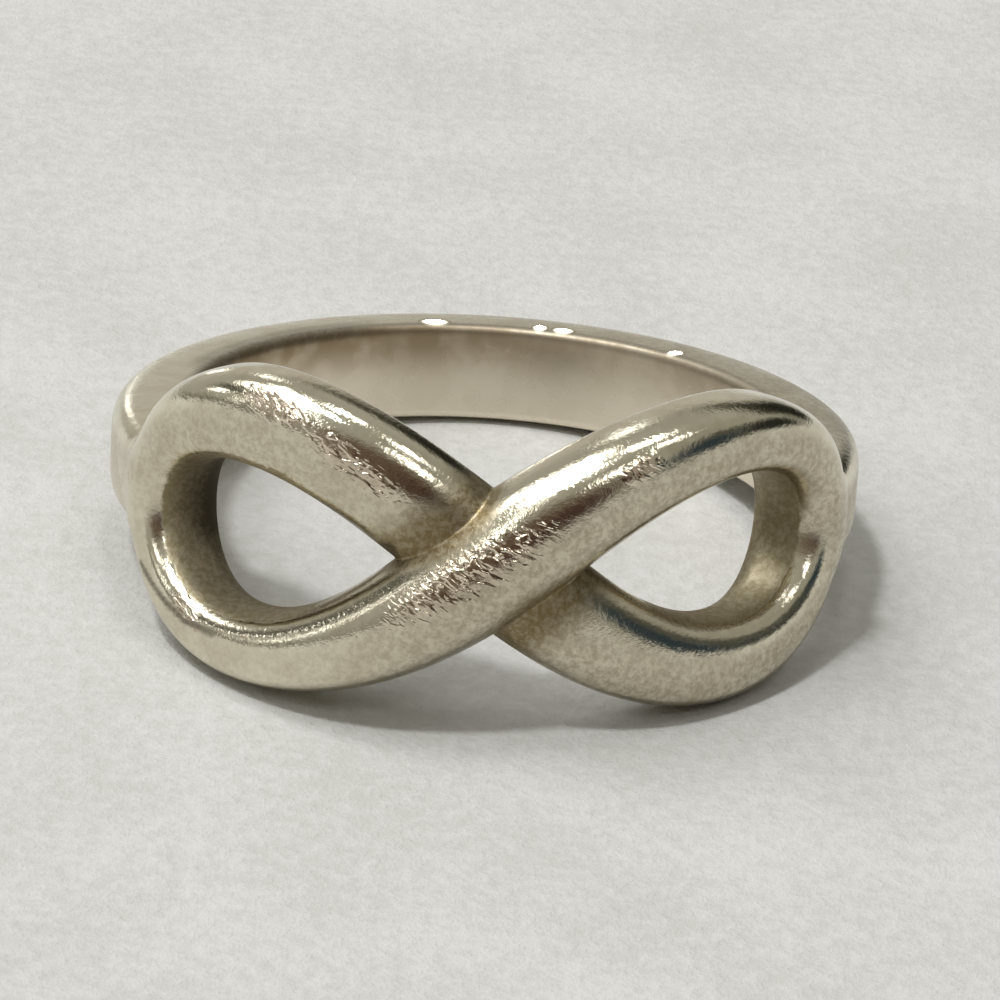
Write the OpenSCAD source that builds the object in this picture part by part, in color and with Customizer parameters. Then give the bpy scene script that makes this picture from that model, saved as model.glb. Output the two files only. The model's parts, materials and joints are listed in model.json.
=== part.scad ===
// Finger ring whose front is a figure of eight, made from one rounded strand wrapped round the finger.
// All lengths are millimetres. The ring rests on its side: +Z is up, the figure of eight faces -Y,
// and the origin is the middle of the finger bore.

/* [Finger bore] */
// Diameter of the bore that the finger goes through
finger_d = 17.3; // [15.5:0.1:20]

/* [Band] */
// Width of the band along the bore
band_w = 3; // [2.4:0.1:3.6]
// Thickness of the band from the bore to its crown
band_t = 2.25; // [1.6:0.05:2.6]
// Power of the oval that the band's section follows, where 2 is an ellipse and more is squarer
band_square_factor = 5.5; // [2:0.5:10]

/* [Figure of eight] */
// Length along the ring between the middles of the strand at the two loop ends
eight_length = 22; // [19:0.1:24]
// Height along the bore between the middles of the strand at the top and the bottom of a loop
eight_height = 6.6; // [5.4:0.05:7.4]
// How much further up the right loop end lies than the left one
eight_rise = 0.3; // [0:0.05:0.4]
// Share by which a third wave draws the loop ends out
end_wave_share = 0.085; // [0:0.005:0.12]
// Share by which a double wave leans the loops out towards their ends
lean_wave_share = 0.04; // [0:0.01:0.12]
// How far the strand that crosses under lies off its smooth curve, just beside the crossing
under_shift = 0.26; // [0:0.02:0.4]

/* [Strand] */
// Width of the strand where it crosses over
strand_w = 3.35; // [2.6:0.05:3.8]
// Height of the strand off the bore
strand_h = 2.2; // [1.8:0.05:2.8]
// Height by which the strand that crosses over stands above that, and the other stays below it
crossing_lift = 0.4; // [0.1:0.05:0.6]
// Power of the oval that the strand's crown follows where it crosses over, where 2 is an ellipse
crown_square_factor = 2.2; // [2:0.1:2.6]

/* [Hidden] */
// Names of the parts
$fn = 180;

// Radius of the finger bore, and the radius at which the figure of eight has its stated length
bore_r = finger_d / 2;
wrap_r = bore_r + strand_h / 2;
// Room by which a shape that is cut passes the bore
cut_room = 1;

// The strand's closed loop is told by a turn in degrees: it crosses over at 0, goes round the right loop
// from the top to the bottom, crosses under at 180 and goes round the left loop from the top to the bottom.
OVER = 0;
UNDER = 180;
// Sections along each half of the strand, and points round a section
strand_steps = 56;
strand_sides = 22;
// Points on each half of the band's section
band_steps = 12;

// How wide, high and square the strand is round its loop, with a row for each eighth of the turn: the upper
// crossing, the upper right, the right end, the lower right, the lower crossing, the upper left, the left
// end and the lower left. Columns: share of strand_w, share of strand_h, share of crown_square_factor.
STRAND = [
    [1.00, 1.00, 1.00],
    [0.69, 1.03, 1.32],
    [0.57, 1.13, 1.36],
    [0.76, 1.03, 1.41],
    [0.98, 1.00, 1.05],
    [0.86, 1.03, 1.27],
    [0.53, 1.09, 1.36],
    [0.62, 1.00, 1.41],
];
WIDTH = 0;
HEIGHT = 1;
SQUARE = 2;
row_turn = 360 / len(STRAND);

// Share of the strand's height at which it is widest, and share of its width that lies flat on the bore
widest_share = 0.3;
flat_share = 0.55;

// Value of a column of the table at a turn, on a smooth closed curve through the rows
function cell(row, column) = STRAND[(row + 2 * len(STRAND)) % len(STRAND)][column];
function curve(a, b, c, d, f) =
    b + f / 2 * (c - a + f * (2 * a - 5 * b + 4 * c - d + f * (3 * (b - c) + d - a)));
function table_value(turn, column) =
    let (row = floor(turn / row_turn))
    curve(cell(row - 1, column), cell(row, column), cell(row + 1, column), cell(row + 2, column),
        turn / row_turn - row);

// Middle of the strand on a flat sheet, along the ring and up the bore, and the way that it runs there.
// A high power of a sine keeps the shift of the strand that crosses under beside that crossing.
reach = eight_length / 2 / (1 + end_wave_share);
shift_lag_angle = 16;
shift_power = 24;
small_angle = 0.25;
function shift_at(turn) = under_shift * sin(2 * turn - shift_lag_angle) * pow(sin(turn / 2), shift_power);
function middle(turn) = [
    reach * (sin(turn) - end_wave_share * sin(3 * turn)),
    eight_height / 2 * (sin(2 * turn) - lean_wave_share * sin(4 * turn)) + eight_rise / 2 * sin(turn)
        - shift_at(turn)];
function heading(turn) =
    let (d = middle(turn + small_angle) - middle(turn - small_angle))
    d / norm(d);

// Width and height of the strand at a turn, and the power of its crown's oval there
function width_at(turn) = strand_w * table_value(turn, WIDTH);
function height_at(turn) = strand_h * table_value(turn, HEIGHT) + crossing_lift * pow(cos(turn), 3);
function square_at(turn) = crown_square_factor * table_value(turn, SQUARE);

// Point of an oval with half widths of 1, which a higher power makes squarer
ELLIPSE = 2;
function signed_power(v, p) = sign(v) * pow(abs(v), p);
function oval_point(a, power) = [signed_power(cos(a), 2 / power), signed_power(sin(a), 2 / power)];

// Section of the strand, across it and above the bore: a crown on a shallow ellipse that the bore cuts flat
function strand_section(w, h, square) =
    let (widest = widest_share * h, drop = widest / sqrt(1 - pow(flat_share, 2)))
    [for (k = [0:strand_sides - 1])
        let (a = 360 * k / strand_sides, crown = a < 180, p = oval_point(a, crown ? square : ELLIPSE))
        [w / 2 * p.x, widest + p.y * (crown ? h - widest : drop)]];

// Place on the ring of a point of the flat sheet that lies at a height above the bore
function wrap(along, up, above) =
    let (r = bore_r + above, a = along / wrap_r * 180 / PI) [r * sin(a), -r * cos(a), up];

// Points round the strand at a turn, and through half of its loop
function strand_ring(turn) =
    let (m = middle(turn), d = heading(turn))
    [for (p = strand_section(width_at(turn), height_at(turn), square_at(turn)))
        wrap(m.x - d.y * p.x, m.y + d.x * p.x, p.y)];
function half_strand(crossing) =
    [for (i = [0:strand_steps]) strand_ring(crossing - 90 + 180 * i / strand_steps)];

// Section of the band, out from the bore's axis and along it
band_section = [for (k = [-band_steps:band_steps])
    let (p = oval_point(90 * k / band_steps, band_square_factor))
    [bore_r - cut_room + (band_t + cut_room) * p.x, band_w / 2 * p.y]];

// The ring rests on the lowest points of its two loops and of the back of its band. The plane through
// them is found in a few rounds, from the points that are lowest along the plane's last upward direction.
strand_points = [for (crossing = [OVER, UNDER]) each [for (points = half_strand(crossing)) each points]];
loop_points = [for (side = [-1, 1]) [for (p = strand_points) if (p.x * side > 0) p]];
function lowest(points, up) =
    let (heights = points * up) points[search(min(heights), heights)[0]];
function band_lowest(up) =
    let (out = [up.x, up.y, 0] / norm([up.x, up.y]))
    lowest([for (p = band_section) [0, 0, p.y] - p.x * out], up);
function rest_up(up, rounds) =
    rounds == 0 ? up :
    let (left = lowest(loop_points[0], up), right = lowest(loop_points[1], up),
        n = cross(right - left, band_lowest(up) - left))
    rest_up(n / norm(n), rounds - 1);
up = rest_up([0, -0.1, 1], 8);
roll = atan2(-up.x, up.z);
tilt = atan2(up.y, norm([up.x, up.z]));

// Closed solid through rings of as many points each
module skin(rings) {
    sides = len(rings[0]);
    last = len(rings) - 1;
    polyhedron(
        points = [for (points = rings) each points],
        faces = concat(
            [[for (k = [0:sides - 1]) k]],
            [[for (k = [sides - 1:-1:0]) last * sides + k]],
            [for (i = [0:last - 1], k = [0:sides - 1])
                let (n = (k + 1) % sides)
                [i * sides + k, (i + 1) * sides + k, (i + 1) * sides + n, i * sides + n]]));
}

// Band: its section carried round the back of the finger, from the middle of one loop end to the other
module band() {
    loop_end = eight_length / 2 / wrap_r * 180 / PI;
    rotate([0, 0, loop_end - 90])
        rotate_extrude(angle = 360 - 2 * loop_end)
            polygon(band_section);
}

// Ring: the strand's two halves and the band, soldered into one, with the bore cut through them
module ring() {
    color([0.78, 0.76, 0.71])
    rotate([tilt, 0, 0])
    rotate([0, roll, 0])
    difference() {
        union() {
            skin(half_strand(OVER));
            skin(half_strand(UNDER));
            band();
        }
        cylinder(r = bore_r, h = 3 * eight_height, center = true);
    }
}

ring();
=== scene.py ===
"""A worn silver finger ring lying on pale paper. Its front is a figure of eight and its back a plain band."""

import json
import math

import bpy
import numpy as np
from mathutils import Matrix, Vector


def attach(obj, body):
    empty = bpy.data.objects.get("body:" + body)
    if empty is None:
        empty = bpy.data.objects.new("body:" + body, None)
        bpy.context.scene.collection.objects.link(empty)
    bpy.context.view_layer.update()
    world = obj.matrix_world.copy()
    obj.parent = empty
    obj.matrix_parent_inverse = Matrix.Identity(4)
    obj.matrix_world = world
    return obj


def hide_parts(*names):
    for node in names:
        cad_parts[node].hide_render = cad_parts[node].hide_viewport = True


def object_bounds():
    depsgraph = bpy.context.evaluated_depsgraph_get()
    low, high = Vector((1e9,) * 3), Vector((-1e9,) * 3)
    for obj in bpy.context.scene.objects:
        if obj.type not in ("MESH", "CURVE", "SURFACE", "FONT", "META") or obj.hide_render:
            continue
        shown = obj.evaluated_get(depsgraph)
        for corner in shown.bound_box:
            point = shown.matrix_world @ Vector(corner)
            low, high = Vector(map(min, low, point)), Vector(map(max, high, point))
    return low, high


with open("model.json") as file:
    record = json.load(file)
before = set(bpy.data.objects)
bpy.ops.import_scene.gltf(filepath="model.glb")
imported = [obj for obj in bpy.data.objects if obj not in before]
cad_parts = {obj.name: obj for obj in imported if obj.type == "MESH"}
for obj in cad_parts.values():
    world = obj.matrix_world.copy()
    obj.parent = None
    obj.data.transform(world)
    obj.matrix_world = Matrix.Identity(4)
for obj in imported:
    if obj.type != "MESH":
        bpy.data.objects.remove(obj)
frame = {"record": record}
cad_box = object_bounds()

MM = 0.001
PICTURE = 1000  # pixels on a side

# Sizes of the ring in millimetres, as in its solid. The ring is drawn flat, as the sheet that is then wrapped
# round the finger: s runs along that sheet, z up the bore, and a is the height above the bore.
BORE = frame["record"]["mounts"][0]
BORE_R = BORE["dims"]["r_mm"]
BAND_W = 3.0
BAND_T = 2.25
BAND_SQUARE = 5.5
BAND_SUNK = 1.0  # how far the band's section reaches into the bore, where it is cut away
EIGHT_LENGTH = 22.0
EIGHT_HEIGHT = 6.6
EIGHT_RISE = 0.3
END_WAVE = 0.085
LEAN_WAVE = 0.04
UNDER_SHIFT = 0.26  # how far the strand that crosses under lies off its curve beside the crossing
UNDER_LAG = math.radians(16)
UNDER_POWER = 24  # of a sine, which keeps that shift beside the crossing
STRAND_W = 3.35
STRAND_H = 2.2
CROSSING_LIFT = 0.4
WIDEST_SHARE = 0.3
FLAT_SHARE = 0.55
# Shares of the strand's width and height each eighth of a turn: over the crossing, upper right, right end,
# lower right, under the crossing, upper left, left end, lower left
WIDTH_SHARES = (1.00, 0.69, 0.57, 0.76, 0.98, 0.86, 0.53, 0.62)
HEIGHT_SHARES = (1.00, 1.03, 1.13, 1.03, 1.00, 1.03, 1.09, 1.00)
CROWN_SQUARES = (2.2, 2.9, 3.0, 3.1, 2.3, 2.8, 3.0, 3.1)  # the power of the crown's oval there

WRAP_R = BORE_R + STRAND_H / 2
REACH = EIGHT_LENGTH / 2 / (1 + END_WAVE)
LOOP_END = EIGHT_LENGTH / 2
OVER, UNDER = 0.0, math.pi  # turns at which the strand passes over and under the crossing

# How soft the joints and edges are, in millimetres
CREASE_SOFT = 0.06
SOLDER_SOFT = 0.55
STRAND_EDGE = 0.16
BAND_EDGE = 0.26
CREASE_END = (3.5, 6.0)  # the crease fades out between these distances from the crossing

# Marks on the metal, among them painted shade and a painted reflection. A pair says where a mark starts to
# change and where that change ends. Lengths are in millimetres. In the names, ALONG is along the flat sheet,
# UP is up the bore, ABOVE is above the bore, and DOWN is how much the skin faces down.
BACK_ALONG = (LOOP_END + 2, LOOP_END + 5)  # from the crossing, where the plain part of the band starts
BORE_ABOVE = (0.02, 0.3)  # where the bore's own look ends
BORE_TOP_UP = (-0.5, 1.2)  # where the bore turns brown towards its upper rim
BORE_TOP_ALONG = (4, 14)  # from the rim's painted shade, where it is less brown
BORE_TOP_LOSS = 0.45  # share of the brown that is lost there
TARNISH_DOWN = (-0.3, 0.05)  # where the skin is tarnished
TARNISH_LEAST = 0.35
TARNISH_MORE = 0.45  # what is added where there is more of it
TARNISH_ALONG = (-6, 0)  # where there is more of it to the right
TARNISH_UP = (-1, 2)  # where there is more of it towards the top
TARNISH_UP_SHARE = 0.6  # of what is added, at the top
BACK_TARNISH = (0.35, 0.3)  # on the band: everywhere, and more on the right side than on the left
JOINT_STAIN = (0.4, 1.6)  # from the strand above, where the joint's stain ends
JOINT_SPILL = (0.2, 0.75)  # from the strand below, where the stain on the one above ends
LOOP_MIDDLE = 6.4  # from the crossing to the middle of each loop's hole
LOOP_FACING = (0.1, 0.6)  # how much the skin faces that middle, where it is tarnished
LOOP_STAIN = (3.0, 6.5)  # from the crossing, where the tarnish in the loops starts
LOOP_DEEP = (1.6, 2.15)  # above the bore, where that tarnish ends
LOOP_DARK = (0.3, 2.0)  # above the bore, where its darkest part, deepened with painted shade, ends
LOOP_LOW = (0.6, 2.2)  # below the middle, where some of that part is lost
LOOP_LOW_LOSS = 0.5
RIGHT_LOOP_LOWER = 0.25  # how much nearer the bore it ends in the right loop
RIGHT_LOOP_SHARE = 0.12  # of the left loop's darkest part
# Dark ends of the solder line, on the flat sheet
BURRS = (
    (-2.74, 0.3),
    (-0.4, 2.28),
)
BURR_SIZE = (0.16, 0.4)  # from a burr's middle, where it ends
# Dark line painted along the left loop's crown: corners of its line on the flat sheet
LEFT_CROWN_LINE = (
    (-10.5, -2.0),
    (-9.9, -2.38),
    (-9.3, -2.68),
    (-8.4, -2.98),
    (-7.4, -3.02),
)
LEFT_CROWN_LINE_SIZE = (0.05, 0.15)  # from that line, where it ends
LEFT_CROWN_LINE_ABOVE = (1.5, 2.0)  # where it starts
FOOT_SHADE = (0.06, 0.3)  # above the bore, where the painted shade under the strand's feet ends
FOOT_DOWN = (0.0, 0.5)  # where it starts
FOOT_ALONG = (LOOP_END, LOOP_END + 2)  # from the crossing, where it ends
RIM_SHADE_AT = -22.5  # along the flat sheet, where the painted shade on the band's rim and bore is darkest
RIM_SHADE_ALONG = (3, 5)  # from there, where that shade ends
RIM_SHADE_ABOVE = (0.5, 0.9)  # where it ends
RIM_SHADE_SHARE = 0.5
RIM_LINE_ABOVE = (0.2, 0.45)  # where the painted line of shade round the rest of the rim ends
RIM_LINE_SHARE = 0.45
RIM_UP = (1.1, 1.35)  # where both start
# Satin: dull patches on the loops' ends and on the upper edge of the band's back
LIP_ALONG = (9.2, 10.1)
LIP_UP = (0.2, 1.7)
LIP_ABOVE = (1.0, 1.4)
SATIN_UP = (0.8, 1.3)
# Scratched patches: place on the flat sheet, half length, half width, and lean in degrees
WORN = (
    (-0.4, 0.2, 2.7, 0.7, 38),
    (3.6, 3.2, 0.6, 0.35, 30),
    (-3.7, 2.75, 1.6, 0.5, -34),
    (-5.9, 3.9, 1.2, 0.4, -16),
    (-8.4, -2.75, 0.8, 0.25, -35),
)
WORN_EDGE = (0.5, 1.15)  # shares of a patch's size between which its edge fades
WORN_ABOVE = (0.9, 1.5)  # where the scratches start
# Small flats worn on the band's upper inner edge: place along the flat sheet and half length
FLATS = (
    (-29.0, 0.45),
    (28.74, 0.24),
    (27.95, 0.34),
    (23.8, 0.24),
)
FLAT_AT = 0.4  # above the bore
FLAT_HALF = 0.3  # of their width
FLAT_SOFT = 0.35  # share of a flat's size over which its edge fades, to each side
FLAT_FACES = (-0.16, -0.61, 0.775)  # the way that they face as the ring lies

# The net that the ring's skin is cut from, in millimetres
NET_STEP = 0.085
BACK_STEP = 0.22  # along the plain part of the band
NET_MARGIN = 2.2  # how far the fine part reaches past the loops
NET_TOP = 5.2
NET_DEPTH = (-0.17, 3.1)
HALF_REACH = math.radians(102)  # of the strand to each side of a crossing
SEARCH_STEPS = 73
SEARCH_SMALL = 0.005  # radians over which the middle line's slope and bend are measured
SEARCH_LONGEST = 0.05  # radians by which one round of the search moves at most
SETTLE_ROUNDS = 3
SETTLE_NUDGE = 1e-3  # over which the skin's slope is measured

# Least values that keep a division sound
OVAL_LEAST = 1e-3
CREASE_LEAST = 1e-4
SLOPE_LEAST = 0.05
HOLE_LEAST = 0.1


# The shape of the ring

def fade(value, start, end):
    """0 before start and 1 after end, with a smooth change between them."""
    f = np.clip((value - start) / (end - start), 0, 1)
    return f * f * (3 - 2 * f)


def soft_min(a, b, softness):
    """The lower of two distances, with their joint rounded."""
    near = np.maximum(softness - np.abs(a - b), 0) / softness
    return np.minimum(a, b) - near * near * softness / 4


def share(shares, turn):
    """A smooth curve through the shares, which repeats after a full turn."""
    shares = np.array(shares)
    place = turn / (2 * math.pi) * len(shares)
    row = np.floor(place).astype(int)
    f = place - row
    a, b, c, d = (shares[(row + k) % len(shares)] for k in (-1, 0, 1, 2))
    return b + f / 2 * (c - a + f * (2 * a - 5 * b + 4 * c - d + f * (3 * (b - c) + d - a)))


def middle(turn):
    """The strand's middle line on the flat sheet, with the shift beside the crossing of the one below."""
    shift = UNDER_SHIFT * np.sin(2 * turn - UNDER_LAG) * np.sin(turn / 2) ** UNDER_POWER
    return (REACH * (np.sin(turn) - END_WAVE * np.sin(3 * turn)),
            EIGHT_HEIGHT / 2 * (np.sin(2 * turn) - LEAN_WAVE * np.sin(4 * turn))
            + EIGHT_RISE / 2 * np.sin(turn) - shift)


def first_turns(s, z, crossing):
    """The nearest of a row of turns on one half of the strand."""
    turns = np.linspace(crossing - HALF_REACH, crossing + HALF_REACH, SEARCH_STEPS)
    line_s, line_z = middle(turns)
    return turns[((s[:, None] - line_s) ** 2 + (z[:, None] - line_z) ** 2).argmin(1)]


def nearest(s, z, crossing, turn, rounds=2):
    """The turn at which one half of the strand passes nearest, and the distance to its middle line."""
    small = SEARCH_SMALL
    for _ in range(rounds):
        (x, y), (x0, y0), (x1, y1) = middle(turn), middle(turn - small), middle(turn + small)
        dx, dy = (x1 - x0) / (2 * small), (y1 - y0) / (2 * small)
        ddx, ddy = (x0 + x1 - 2 * x) / small ** 2, (y0 + y1 - 2 * y) / small ** 2
        speed = dx * dx + dy * dy
        slope = (x - s) * dx + (y - z) * dy
        bend = np.maximum(speed + (x - s) * ddx + (y - z) * ddy, speed / 4)
        turn = turn - np.clip(slope / bend, -SEARCH_LONGEST, SEARCH_LONGEST)
        turn = np.clip(turn, crossing - HALF_REACH, crossing + HALF_REACH)
    x, y = middle(turn)
    return turn, np.hypot(x - s, y - z)


def oval(x, y, half_w, half_h, power):
    """Roughly the distance to an oval, for x and y of 0 or more. A higher power makes it squarer."""
    x, y = x / half_w, y / half_h
    g = np.maximum((x ** power + y ** power) ** (1 / power), OVAL_LEAST)
    return (g - 1) / np.hypot((x / g) ** (power - 1) / half_w, (y / g) ** (power - 1) / half_h)


def strand(turn, aside, a):
    """Distance to the strand's skin, from a point beside its middle line and above the bore."""
    w = STRAND_W * share(WIDTH_SHARES, turn)
    h = STRAND_H * share(HEIGHT_SHARES, turn) + CROSSING_LIFT * np.cos(turn) ** 3
    widest = WIDEST_SHARE * h
    drop = widest / math.sqrt(1 - FLAT_SHARE ** 2)
    square = share(CROWN_SQUARES, turn)
    return np.where(a > widest, oval(aside, np.maximum(a - widest, 0), w / 2, h - widest, square),
                    oval(aside, np.maximum(widest - a, 0), w / 2, drop, 2))


def band(s, z, a):
    """Distance to the band, which runs round the back from one loop's end to the other's."""
    side = oval(np.abs(z), np.maximum(a + BAND_SUNK, 0), BAND_W / 2, BAND_T + BAND_SUNK, BAND_SQUARE)
    return np.maximum(side, LOOP_END - np.abs(s))


def skin(s, z, a, over, under):
    """Distance to the skin, less than 0 inside. over and under are the strand's nearest turn and distance."""
    off_crossing = np.abs(s)
    crease = CREASE_SOFT * (1 - fade(off_crossing, *CREASE_END)) + CREASE_LEAST
    metal = soft_min(strand(*over, a), strand(*under, a), crease)
    metal = soft_min(metal, band(s, z, a), SOLDER_SOFT)
    edge = STRAND_EDGE + (BAND_EDGE - STRAND_EDGE) * fade(off_crossing, LOOP_END - 1, LOOP_END + 2)
    return -soft_min(-metal, a, edge)


def wrapped(s, z, a):
    """Points of the flat sheet wrapped round the finger."""
    angle = s / WRAP_R
    return np.stack([(BORE_R + a) * np.sin(angle), -(BORE_R + a) * np.cos(angle), z + 0 * a], -1)


def flattened(points):
    """The flat sheet's s, z and a of wrapped points."""
    x, y, z = points.T
    return WRAP_R * np.arctan2(x, -y), z, np.hypot(x, y) - BORE_R


def skin_at(points, turns):
    """Distance of wrapped points to the skin. Brings turns, the strand's nearest turns, up to date."""
    s, z, a = flattened(points)
    halves = [nearest(s, z, crossing, turns[k]) for k, crossing in enumerate((OVER, UNDER))]
    turns[:] = [half[0] for half in halves]
    return skin(s, z, a, *halves)


# The net over the skin

def steps(start, end, size):
    """Even steps of about a size from start to end."""
    return np.linspace(start, end, int(round((end - start) / size)) + 1)


def cut_net():
    """A point for each cell of a grid that the skin passes through, and a face for each edge it crosses."""
    front, back = LOOP_END + NET_MARGIN, math.pi * WRAP_R
    s = np.concatenate([steps(-front, front, NET_STEP), steps(front, 2 * back - front, BACK_STEP)[1:-1]])
    z, a = steps(-NET_TOP, NET_TOP, NET_STEP), steps(*NET_DEPTH, NET_STEP)
    flat_s, flat_z = (v.ravel() for v in np.meshgrid((s + back) % (2 * back) - back, z, indexing="ij"))
    halves = []
    for crossing in (OVER, UNDER):
        turn = first_turns(flat_s, flat_z, crossing)
        halves.append([v[:, None] for v in nearest(flat_s, flat_z, crossing, turn, rounds=5)])
    shape = len(s), len(z), len(a)
    value = skin(flat_s[:, None], flat_z[:, None], a, *halves).reshape(shape)
    place = wrapped(flat_s[:, None], flat_z[:, None], a).reshape(*shape, 3)

    def corner(grid, step):
        """The grid at one corner of every cell. It closes round the finger."""
        turned = np.roll(grid, -step[0], 0)
        return turned[:, step[1]:shape[1] - 1 + step[1], step[2]:shape[2] - 1 + step[2]]

    corners = [(i, j, k) for i in (0, 1) for j in (0, 1) for k in (0, 1)]
    filled = sum(corner(value < 0, c).astype(int) for c in corners)
    cells = (filled > 0) & (filled < len(corners))
    number = np.full(cells.shape, -1)
    number[cells] = np.arange(cells.sum())
    total, count = np.zeros((cells.sum(), 3)), np.zeros(cells.sum())
    for c in corners:
        for axis in range(3):
            if c[axis]:
                continue
            d = tuple(c[k] + (k == axis) for k in range(3))
            f, g = corner(value, c)[cells], corner(value, d)[cells]
            p, q = corner(place, c)[cells], corner(place, d)[cells]
            crossed = (f < 0) != (g < 0)
            part = np.where(crossed, f / np.where(crossed, f - g, 1), 0)[:, None]
            total += np.where(crossed[:, None], p + (q - p) * part, 0)
            count += crossed

    faces = []
    inside = value < 0
    for axis in range(3):
        ahead = np.roll(inside, -1, axis)
        if axis:  # the grid closes only round the finger
            number_along = np.arange(shape[axis]).reshape([-1 if k == axis else 1 for k in range(3)])
            ahead = np.where(number_along == shape[axis] - 1, inside, ahead)
        edges = np.argwhere(inside != ahead)
        j, k = (axis + 1) % 3, (axis + 2) % 3
        square = []
        for dj, dk in ((0, 0), (1, 0), (1, 1), (0, 1)):
            cell = edges.copy()
            cell[:, j] -= dj
            cell[:, k] -= dk
            cell[:, 0] %= shape[0]
            square.append(number[tuple(cell.T)])
        square = np.stack(square, 1)
        turned = ~inside[tuple(edges.T)]
        square[turned] = square[turned][:, ::-1]
        faces.append(square)
    return total / count[:, None], np.concatenate(faces)


def settle(points, faces):
    """Spreads the net's points and lays them on the skin. Returns them and the skin's outward directions."""
    edges = np.concatenate([faces[:, [k, (k + 1) % 4]] for k in range(4)])
    edges = np.unique(np.sort(edges, 1), axis=0)
    neighbours = np.bincount(edges.ravel(), minlength=len(points))[:, None]
    s, z, _ = flattened(points)
    turns = np.array([first_turns(s, z, crossing) for crossing in (OVER, UNDER)])
    skin_at(points, turns)

    def slopes(here):
        level = skin_at(here, turns)
        ahead = [skin_at(here + SETTLE_NUDGE * axis, turns) for axis in np.eye(3)]
        return level, np.stack([(other - level) / SETTLE_NUDGE for other in ahead], -1)

    for _ in range(SETTLE_ROUNDS):
        total = np.zeros_like(points)
        for one, other in (edges.T, edges.T[::-1]):
            for k in range(3):
                total[:, k] += np.bincount(one, points[other, k], len(points))
        points = (points + total / neighbours) / 2
        for _ in range(2):
            level, slope = slopes(points)
            points = points - (level / np.maximum((slope ** 2).sum(1), SLOPE_LEAST))[:, None] * slope
    _, slope = slopes(points)
    return points, slope / np.linalg.norm(slope, axis=1)[:, None]


def around(s, middle_s):
    """How far s lies from a place, the short way round the finger."""
    half = math.pi * WRAP_R
    return (s - middle_s + half) % (2 * half) - half


def line_distance(s, z, corners):
    """Distance on the flat sheet to a line with corners."""
    nearest_part = np.full_like(s, np.inf)
    for (s0, z0), (s1, z1) in zip(corners, corners[1:]):
        along = ((s - s0) * (s1 - s0) + (z - z0) * (z1 - z0)) / ((s1 - s0) ** 2 + (z1 - z0) ** 2)
        along = np.clip(along, 0, 1)
        off = np.hypot(s - s0 - along * (s1 - s0), z - z0 - along * (z1 - z0))
        nearest_part = np.minimum(nearest_part, off)
    return nearest_part


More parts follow.
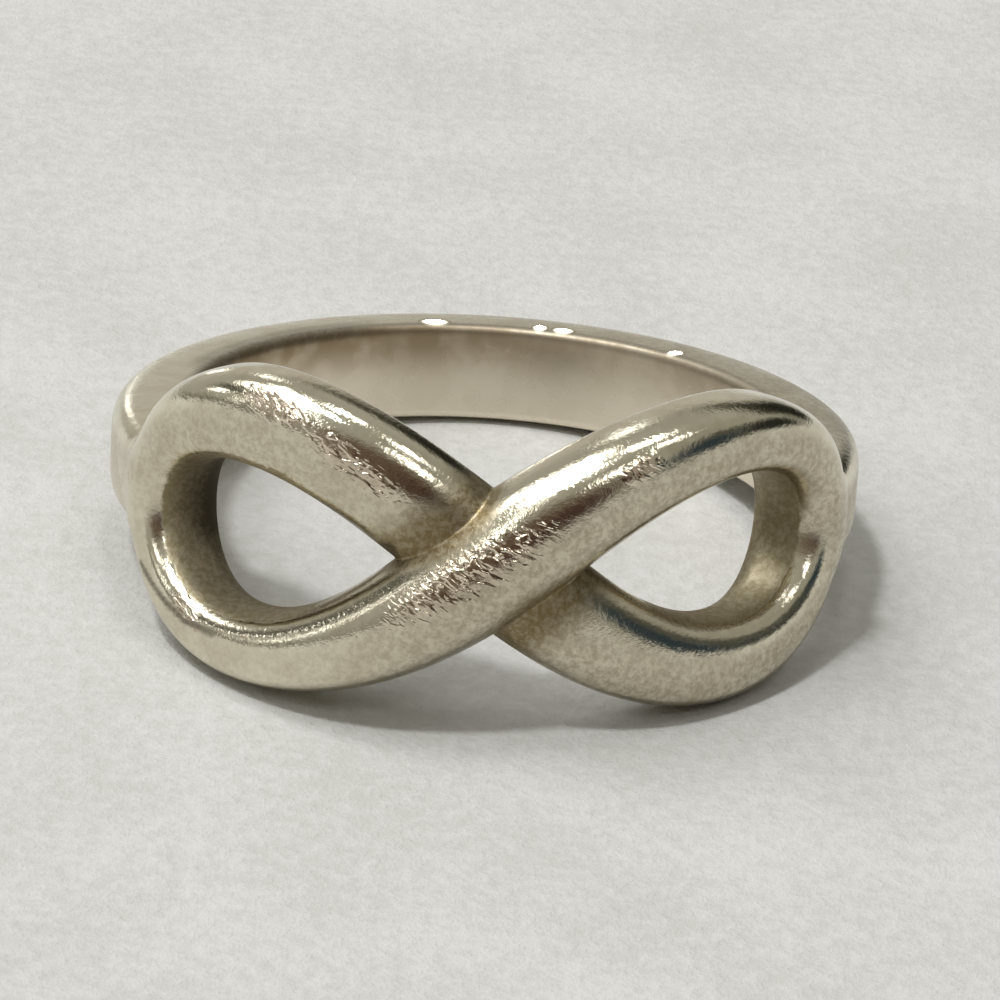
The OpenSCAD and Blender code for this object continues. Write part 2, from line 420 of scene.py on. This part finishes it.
def marks(points, outward):
    """How much of each mark a point has, from 0 to 1."""
    s, z, a = flattened(points)
    angle = s / WRAP_R
    down = -outward[:, 2]
    off_crossing = np.abs(s)
    off_rim_shade = np.abs(around(s, RIM_SHADE_AT))
    back = fade(off_crossing, *BACK_ALONG)
    bore = 1 - fade(a, *BORE_ABOVE)

    more = np.maximum(fade(s, *TARNISH_ALONG), TARNISH_UP_SHARE * fade(z, *TARNISH_UP))
    tarnish = fade(down, *TARNISH_DOWN) * (TARNISH_LEAST + TARNISH_MORE * more)
    on_band = back * (BACK_TARNISH[0] + BACK_TARNISH[1] * np.sin(angle))
    tarnish = np.maximum(tarnish, on_band) * fade(a, *BORE_ABOVE)

    over, under = (strand(*nearest(s, z, crossing, first_turns(s, z, crossing)), a)
                   for crossing in (OVER, UNDER))
    joint = np.where(under < over, 1 - fade(over, *JOINT_STAIN), 1 - fade(under, *JOINT_SPILL))
    joint *= 1 - fade(off_crossing, *CREASE_END)

    along = outward[:, 0] * np.cos(angle) + outward[:, 1] * np.sin(angle)
    to_s, to_z = np.sign(s) * LOOP_MIDDLE - s, -z
    facing_hole = (along * to_s + outward[:, 2] * to_z) / np.maximum(np.hypot(to_s, to_z), HOLE_LEAST)
    in_loop = fade(off_crossing, *LOOP_STAIN) * (off_crossing < LOOP_END)
    loop = fade(facing_hole, *LOOP_FACING) * in_loop
    loop = loop * (1 - fade(a + RIGHT_LOOP_LOWER * (s > 0), *LOOP_DEEP))
    # The loops' darkest part: their tarnish deepened with painted shade near the bore
    loop_dark = loop * (1 - fade(a, *LOOP_DARK)) * (1 - LOOP_LOW_LOSS * fade(-z, *LOOP_LOW))
    loop_dark = loop_dark * np.where(s > 0, RIGHT_LOOP_SHARE, 1)

    burr = sum(1 - fade(np.hypot(s - at_s, z - at_z), *BURR_SIZE) for at_s, at_z in BURRS)
    burr = burr * (off_crossing < LOOP_MIDDLE)
    # Painted shade: down-facing skin just above the bore, where the strand's feet meet the paper, is darkened
    foot = (1 - fade(a, *FOOT_SHADE)) * fade(down, *FOOT_DOWN) * (1 - fade(off_crossing, *FOOT_ALONG))
    left_crown_line = (1 - fade(line_distance(s, z, LEFT_CROWN_LINE), *LEFT_CROWN_LINE_SIZE)) * fade(a, *LEFT_CROWN_LINE_ABOVE)
    # Painted shade round the bore's upper rim: a thin line along the band's back and a broader patch on its
    # left
    rim_line = RIM_LINE_SHARE * (1 - fade(a, *RIM_LINE_ABOVE)) * back
    rim_shade = 1 - fade(off_rim_shade, *RIM_SHADE_ALONG)
    rim_shade = RIM_SHADE_SHARE * rim_shade * (1 - fade(a, *RIM_SHADE_ABOVE))
    lip = fade(off_crossing, *LIP_ALONG) * (1 - fade(np.abs(z), *LIP_UP)) * fade(a, *LIP_ABOVE)

    wear = np.zeros_like(s)
    for at_s, at_z, half_s, half_z, lean in WORN:
        lean = math.radians(lean)
        x = ((s - at_s) * math.cos(lean) + (z - at_z) * math.sin(lean)) / half_s
        y = ((z - at_z) * math.cos(lean) - (s - at_s) * math.sin(lean)) / half_z
        wear = np.maximum(wear, 1 - fade(np.hypot(x, y), *WORN_EDGE))

    return {
        "joint": joint,
        "loop": loop,
        "loop_dark": loop_dark,
        "foot": np.maximum.reduce([foot, burr, left_crown_line]),
        "wear": wear * fade(a, *WORN_ABOVE),
        "bore": bore,
        "bore_top": bore * fade(z, *BORE_TOP_UP) * (1 - BORE_TOP_LOSS * fade(off_rim_shade, *BORE_TOP_ALONG)),
        "tarnish": tarnish,
        "rim": fade(z, *RIM_UP) * (rim_line + rim_shade),
        "satin": np.maximum(lip, fade(z, *SATIN_UP) * back),
    }


def resting_turn():
    """The turn that takes the ring from its own axes to how it lies, from the bore's direction."""
    x, y, z = BORE["axis"]
    return Matrix.Rotation(math.atan2(-y, z), 3, "X") @ Matrix.Rotation(math.asin(x), 3, "Y")


def ring_piece():
    """The whole ring as one mesh in place of its solid."""
    points, faces = cut_net()
    points, outward = settle(points, faces)
    turn = np.array(resting_turn())
    mesh = bpy.data.meshes.new("silver_ring")
    mesh.from_pydata((points @ turn.T * MM).tolist(), [], faces.tolist())
    mesh.shade_smooth()
    mesh.normals_split_custom_set_from_vertices((outward @ turn.T).tolist())
    flat = mesh.attributes.new("flat", "FLOAT_VECTOR", "POINT")
    flat.data.foreach_set("vector", np.stack(flattened(points), -1).astype(np.float32).ravel())
    for name, amount in marks(points, outward).items():
        mesh.attributes.new(name, "FLOAT", "POINT").data.foreach_set("value", amount.astype(np.float32))
    ring = bpy.data.objects.new("silver_ring", mesh)
    bpy.context.scene.collection.objects.link(ring)
    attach(ring, "root")
    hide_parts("ring")
    return ring


# Node trees

class Nodes:
    """Short calls that add nodes to a tree. A value may be a number, a vector or another node's output."""

    def __init__(self, tree):
        self.tree = tree
        tree.nodes.clear()

    def add(self, kind, inputs=(), **settings):
        node = self.tree.nodes.new(kind)
        for name, value in settings.items():
            setattr(node, name, value)
        for name, value in dict(inputs).items():
            socket = node.inputs[name]
            if isinstance(value, bpy.types.NodeSocket):
                self.tree.links.new(value, socket)
            else:
                socket.default_value = value
        return node

    def maths(self, operation, *values):
        return self.add("ShaderNodeMath", enumerate(values), operation=operation).outputs[0]

    def total(self, *terms):
        """The sum of values, each times its share."""
        total = 0.0
        for value, part in terms:
            total = self.maths("MULTIPLY_ADD", value, part, total)
        return total

    def step(self, value, start, end, low=0.0, high=1.0):
        """low before start and high after end, with a smooth change between them."""
        values = {"Value": value, "From Min": start, "From Max": end, "To Min": low, "To Max": high}
        return self.add("ShaderNodeMapRange", values, interpolation_type="SMOOTHSTEP").outputs["Result"]

    def blend(self, share_of_b, a, b):
        node = self.add("ShaderNodeMix", {0: share_of_b, 6: a, 7: b}, data_type="RGBA")
        return node.outputs[2]

    def noise(self, vector, scale, detail=2.0, roughness=0.5):
        values = {"Vector": vector, "Scale": scale, "Detail": detail, "Roughness": roughness}
        return self.add("ShaderNodeTexNoise", values).outputs[0]


def new_material(name):
    material = bpy.data.materials.new(name)
    material.use_nodes = True
    return material, Nodes(material.node_tree)


# Silver

CLEAN = (0.835, 0.79, 0.64, 1)
DULL = (0.70, 0.64, 0.50, 1)
# Painted reflection: the warm pink that scratched silver shows
WARM_REFLECTION = (0.86, 0.70, 0.56, 1)
TARNISH = (0.42, 0.37, 0.275, 1)
BORE_SILVER = (0.76, 0.69, 0.565, 1)
BORE_BROWN = (0.36, 0.28, 0.18, 1)
JOINT_BROWN = (0.235, 0.18, 0.09, 1)
LOOP_BROWN = (0.31, 0.26, 0.155, 1)
# The dark colour of the stains and of the painted shade
STAIN_AND_SHADE = (0.075, 0.06, 0.035, 1)
CLEAN_ROUGH = (0.07, 0.14)
# What each mark adds to the roughness
ROUGHER = {"tarnish": 0.12, "bore": 0.16, "satin": 0.13, "stain_and_shade": 0.32, "joint": 0.32, "loop_edge": 0.34}
# Share of a mark that shows everywhere, and what mottled spots add to it
MOTTLED = {"stain_and_shade": (0.85, 0.2), "tarnish": (0.62, 0.6), "joint": (0.72, 0.3), "loop_edge": (0.7, 0.25)}
# Stains and painted shade under the last colour, and how strongly each shows
STAINS_AND_SHADE = {"loop_dark": 1.15, "foot": 0.8, "rim": 0.85}
WARM_REFLECTION_SHARE = 0.5  # of the scratched patches' painted warm reflection
HALF_METAL = 0.5  # how metallic the stains and painted shade are
# Noises: how fine they are, and their values where a change starts and ends
CLOUDS_PER_MM = 0.9
PATINA_PER_MM = 5.0
DULL_CLOUDS = (0.42, 0.62)
DULL_SHARE = 0.6
BROWN_CLOUDS = (0.35, 0.6)
BROWN_SHARES = (0.7, 1.0)
ROUGH_CLOUDS = (0.35, 0.65)
MOTTLE_PATINA = (0.36, 0.64)
LOOP_EDGE = (0.75, 1.05)  # of the loops' tarnish, with half of both noises added
STAIN_AND_SHADE_NOT_METAL = (0.3, 1.0)  # of the stains and painted shade, where they are less metallic
SCRATCH_LEAN = -35  # degrees on the flat sheet
# Scratches: further lean in degrees, length and width in millimetres, and the noise's values where they start
# and are full
SCRATCHES = (
    (0, 0.6, 0.22, 0.45, 0.66),
    (12, 0.32, 0.16, 0.50, 0.66),
)
SCRATCH_DEPTH = 0.028  # millimetres
PATINA_DEPTH_SHARE = 0.45
FLATS_SMOOTHER = 0.3  # share of the roughness that is lost on the worn flats


def inside(n, vector, centre, turn, sizes, soft):
    """1 inside an oval and 0 outside it, with a soft edge. The columns of turn are the oval's axes."""
    axes = [turn.col[k].xyz / sizes[k] for k in range(3)]
    parts = [n.add("ShaderNodeVectorMath", {0: vector, 1: axis}, operation="DOT_PRODUCT") for axis in axes]
    place = n.add("ShaderNodeCombineXYZ", enumerate(part.outputs["Value"] for part in parts)).outputs[0]
    centre = Vector([axis.dot(centre) for axis in axes])
    off = n.add("ShaderNodeVectorMath", {0: place, 1: centre}, operation="DISTANCE").outputs["Value"]
    return n.step(off, 1 - soft, 1 + soft, 1.0, 0.0)


def worn_flats(n, place):
    """1 on the small flats and 0 elsewhere."""
    turn = resting_turn()
    total = 0.0
    for at, half in FLATS:
        centre = turn @ Vector(wrapped(at, BAND_W / 2, FLAT_AT)) * MM
        along = turn @ Matrix.Rotation(at / WRAP_R, 3, "Z")
        sizes = Vector((half, FLAT_HALF, FLAT_HALF)) * MM
        total = n.maths("ADD", total, inside(n, place, centre, along, sizes, FLAT_SOFT))
    return total


def silver():
    material, n = new_material("worn_silver")
    flat = n.add("ShaderNodeAttribute", attribute_name="flat").outputs["Vector"]
    names = ("joint", "loop", "loop_dark", "foot", "rim", "wear", "bore", "bore_top", "tarnish", "satin")
    mark = {name: n.add("ShaderNodeAttribute", attribute_name=name).outputs["Fac"] for name in names}
    place = n.add("ShaderNodeTexCoord").outputs["Object"]
    cloud = n.noise(place, CLOUDS_PER_MM / MM, detail=2.0, roughness=0.6)
    patina = n.noise(place, PATINA_PER_MM / MM, detail=3.0, roughness=0.75)
    mottle = n.step(patina, *MOTTLE_PATINA)

    def strokes(lean, length, width, start, full):
        """Short scratches on the flat sheet."""
        turned = n.add("ShaderNodeMapping", {"Vector": flat, "Scale": (length, width, width),
                                            "Rotation": (0, 0, math.radians(SCRATCH_LEAN + lean))},
                       vector_type="TEXTURE")
        return n.step(n.noise(turned.outputs[0], 1.0, detail=1.0), start, full)

    def mottled(name, amount):
        """A mark that the patina breaks up."""
        even, spots = MOTTLED[name]
        return n.maths("MULTIPLY", amount, n.total((mottle, spots), (1.0, even)))

    mark["loop_edge"] = n.step(n.total((mark["loop"], 1.0), (cloud, 0.5), (patina, 0.5)), *LOOP_EDGE)
    # Stains and painted shade: the loops' darkest part, the feet and the rim
    stain_and_shade = mottled("stain_and_shade", n.total(*((mark[name], part) for name, part in STAINS_AND_SHADE.items())))
    mark["stain_and_shade"] = n.maths("MINIMUM", stain_and_shade, 1.0)

    colour = n.blend(n.step(cloud, *DULL_CLOUDS, high=DULL_SHARE), CLEAN, DULL)
    # Painted reflection: a warm pink tint laid on the scratched patches
    colour = n.blend(n.maths("MULTIPLY", mark["wear"], WARM_REFLECTION_SHARE), colour, WARM_REFLECTION)
    colour = n.blend(mottled("tarnish", mark["tarnish"]), colour, TARNISH)
    brown = n.maths("MULTIPLY", mark["bore_top"], n.step(cloud, *BROWN_CLOUDS, *BROWN_SHARES))
    colour = n.blend(mark["bore"], colour, n.blend(brown, BORE_SILVER, BORE_BROWN))
    colour = n.blend(mottled("joint", mark["joint"]), colour, JOINT_BROWN)
    colour = n.blend(mottled("loop_edge", mark["loop_edge"]), colour, LOOP_BROWN)
    colour = n.blend(mark["stain_and_shade"], colour, STAIN_AND_SHADE)

    polished = worn_flats(n, place)
    rough = n.total((n.step(cloud, *ROUGH_CLOUDS, *CLEAN_ROUGH), 1.0),
                    *((mark[name], part) for name, part in ROUGHER.items()))
    rough = n.maths("MULTIPLY", rough, n.total((polished, -FLATS_SMOOTHER), (1.0, 1.0)))

    scratch = n.maths("MAXIMUM", *(strokes(*row) for row in SCRATCHES))
    off_bore = n.total((mark["bore"], -1.0), (1.0, 1.0))
    height = n.total((n.maths("MULTIPLY", scratch, mark["wear"]), 1.0),
                     (n.maths("MULTIPLY", patina, off_bore), PATINA_DEPTH_SHARE))
    bump = n.add("ShaderNodeBump", {"Strength": 1.0, "Distance": SCRATCH_DEPTH * MM, "Height": height})
    normal = n.add("ShaderNodeMix", {0: polished, 4: bump.outputs[0], 5: Vector(FLAT_FACES).normalized()},
                   data_type="VECTOR").outputs[1]

    metallic = n.step(mark["stain_and_shade"], *STAIN_AND_SHADE_NOT_METAL, 1.0, HALF_METAL)
    shader = n.add("ShaderNodeBsdfPrincipled", {"Base Color": colour, "Metallic": metallic,
                                                "Roughness": rough, "Normal": normal})
    n.add("ShaderNodeOutputMaterial", {"Surface": shader.outputs[0]})
    return material


# Paper

PAPER_DARK = (0.52, 0.52, 0.50, 1)
PAPER_LIGHT = (0.60, 0.60, 0.59, 1)
PAPER_ROUGH = 0.9
FIBRES_PER_METRE = 1800.0
FIBRE_SHARE = 0.6
FIBRE_DEPTH = 0.1  # millimetres
WAVES_PER_METRE = 160.0
WAVE_SHARE = 0.4
PAPER_TONES = (0.36, 0.64)  # the noises' values where the paper is darkest and lightest
FLOOR_SIDE = 0.9  # metres


def paper():
    material, n = new_material("pale_paper")
    place = n.add("ShaderNodeTexCoord").outputs["Object"]
    fibre = n.noise(place, FIBRES_PER_METRE, detail=3.0, roughness=0.75)
    wave = n.noise(place, WAVES_PER_METRE, detail=2.0)
    tone = n.step(n.total((fibre, FIBRE_SHARE), (wave, WAVE_SHARE)), *PAPER_TONES)
    bump = n.add("ShaderNodeBump", {"Strength": 1.0, "Distance": FIBRE_DEPTH * MM, "Height": fibre})
    shader = n.add("ShaderNodeBsdfPrincipled", {"Base Color": n.blend(tone, PAPER_DARK, PAPER_LIGHT),
                                                "Roughness": PAPER_ROUGH, "Normal": bump.outputs[0]})
    n.add("ShaderNodeOutputMaterial", {"Surface": shader.outputs[0]})
    return material


def floor_piece():
    bpy.ops.mesh.primitive_plane_add(size=FLOOR_SIDE, location=(0, 0, cad_box[0][2]))
    floor = bpy.context.object
    floor.name = "paper_floor"
    floor.data.materials.append(paper())


# Studio light

# Soft lamps: azimuth, elevation, half width and half height in degrees, brightness. Azimuth 0 is in front,
# and 90 is to the right.
LAMPS = (
    (-50, 70, 3, 3, 110.0),
    (-98, 65, 22, 11, 3.2),
    (-117, 47, 9, 8, 2.6),
    (-50, 38, 5, 14, 2.2),
    (-78, 21, 2, 13, 1.6),
    (19, 49, 7, 5, 4.5),
    (-102, 20, 6, 3, 2.5),
    (-165, 36, 4, 5, 1.6),
    (-165, 3, 2.5, 2.5, 3.0),
    (160, 83, 6, 5, 7.0),
    (65, 66, 5, 4, 5.0),
)
LAMP_DISTANCE = 1.0  # metres
LAMP_POWER = 4.0  # watts for each square metre of a lamp with a brightness of 1
# Parts of the room with a colour of their own: azimuth, elevation, half width and half height in degrees,
# softness of the edge, colour
SHADES = (
    (50, 52, 60, 26, 0.5, (0.31, 0.30, 0.255)),
    (180, 14, 34, 14, 0.5, (0.50, 0.475, 0.42)),
    (150, 30, 24, 9, 0.35, (0.06, 0.055, 0.04)),
    (74, 28, 16, 9, 0.4, (0.08, 0.08, 0.065)),
    (-88, 1, 44, 4, 0.3, (0.10, 0.095, 0.06)),
    (-103, 29, 16, 6, 0.4, (0.09, 0.088, 0.07)),
    (-6, 18, 34, 24, 0.45, (0.12, 0.085, 0.06)),
    (10, 12, 20, 14, 0.4, (0.06, 0.034, 0.027)),
    (65, 12, 16, 14, 0.4, (0.025, 0.04, 0.052)),
    (100, 10, 20, 16, 0.35, (0.022, 0.022, 0.018)),
    (146, 12, 18, 18, 0.35, (0.018, 0.018, 0.014)),
)
SKY = (0.37, 0.36, 0.32)
BACKDROP = (0.70, 0.69, 0.66)  # what the camera would see past the floor's edge


def towards(azimuth, elevation):
    """The direction of a place in the room, seen from the ring."""
    azimuth, elevation = math.radians(azimuth), math.radians(elevation)
    level = math.cos(elevation)
    return Vector((math.sin(azimuth) * level, -math.cos(azimuth) * level, math.sin(elevation)))


def facing(direction):
    """The turn that brings +Z to a direction and keeps X level."""
    return direction.to_track_quat("Z", "Y").to_matrix().to_4x4()


def lamp(azimuth, elevation, half_w, half_h, brightness):
    data = bpy.data.lights.new("lamp", "AREA")
    data.shape = "ELLIPSE"
    data.size, data.size_y = (2 * LAMP_DISTANCE * math.tan(math.radians(half)) for half in (half_w, half_h))
    data.energy = LAMP_POWER * brightness * math.pi / 4 * data.size * data.size_y
    light = bpy.data.objects.new("lamp", data)
    away = towards(azimuth, elevation)
    light.matrix_world = Matrix.Translation(away * LAMP_DISTANCE) @ facing(away)
    bpy.context.scene.collection.objects.link(light)


def studio():
    world = bpy.data.worlds.new("studio")
    world.use_nodes = True
    bpy.context.scene.world = world
    world.cycles.sampling_method = "NONE"  # the room is dim and soft, so no rays are aimed at its parts
    n = Nodes(world.node_tree)
    ray = n.add("ShaderNodeTexCoord").outputs["Generated"]
    colour = (*SKY, 1)
    for azimuth, elevation, half_w, half_h, soft, shade in SHADES:
        middle_of_shade = towards(azimuth, elevation)
        sizes = math.sin(math.radians(half_w)), math.sin(math.radians(half_h)), 1.0
        amount = inside(n, ray, middle_of_shade, facing(middle_of_shade), sizes, soft)
        colour = n.blend(amount, colour, (*shade, 1))
    seen = n.add("ShaderNodeLightPath").outputs["Is Camera Ray"]
    background = n.add("ShaderNodeBackground", {"Color": n.blend(seen, colour, (*BACKDROP, 1))})
    n.add("ShaderNodeOutputWorld", {"Surface": background.outputs[0]})
    for row in LAMPS:
        lamp(*row)


# Camera. It looks down at the ring from in front, a little from the left, and is rolled a little.
CAMERA_ELEVATION = 27.51
CAMERA_AZIMUTH = -1.93
CAMERA_ROLL = 3.87
CAMERA_DISTANCE = 150.0
SENSOR_WIDTH = 36
PIXELS_PER_MM = 34.21  # at the middle of the bore
BORE_AT = (484.3, 458.45)  # where the middle of the bore lies in the picture


def camera():
    data = bpy.data.cameras.new("camera")
    data.sensor_width = SENSOR_WIDTH
    data.lens = PIXELS_PER_MM * CAMERA_DISTANCE / PICTURE * SENSOR_WIDTH
    data.clip_start = MM
    data.shift_x = (PICTURE / 2 - BORE_AT[0]) / PICTURE
    data.shift_y = (BORE_AT[1] - PICTURE / 2) / PICTURE
    back = towards(CAMERA_AZIMUTH, CAMERA_ELEVATION)
    seen = bpy.data.objects.new("camera", data)
    seen.matrix_world = (Matrix.Translation(back * CAMERA_DISTANCE * MM) @ facing(back)
                         @ Matrix.Rotation(math.radians(CAMERA_ROLL), 4, "Z"))
    bpy.context.scene.collection.objects.link(seen)
    bpy.context.scene.camera = seen


ring = ring_piece()
ring.data.materials.append(silver())
floor_piece()
studio()
camera()
bpy.context.scene.view_settings.view_transform = "Standard"
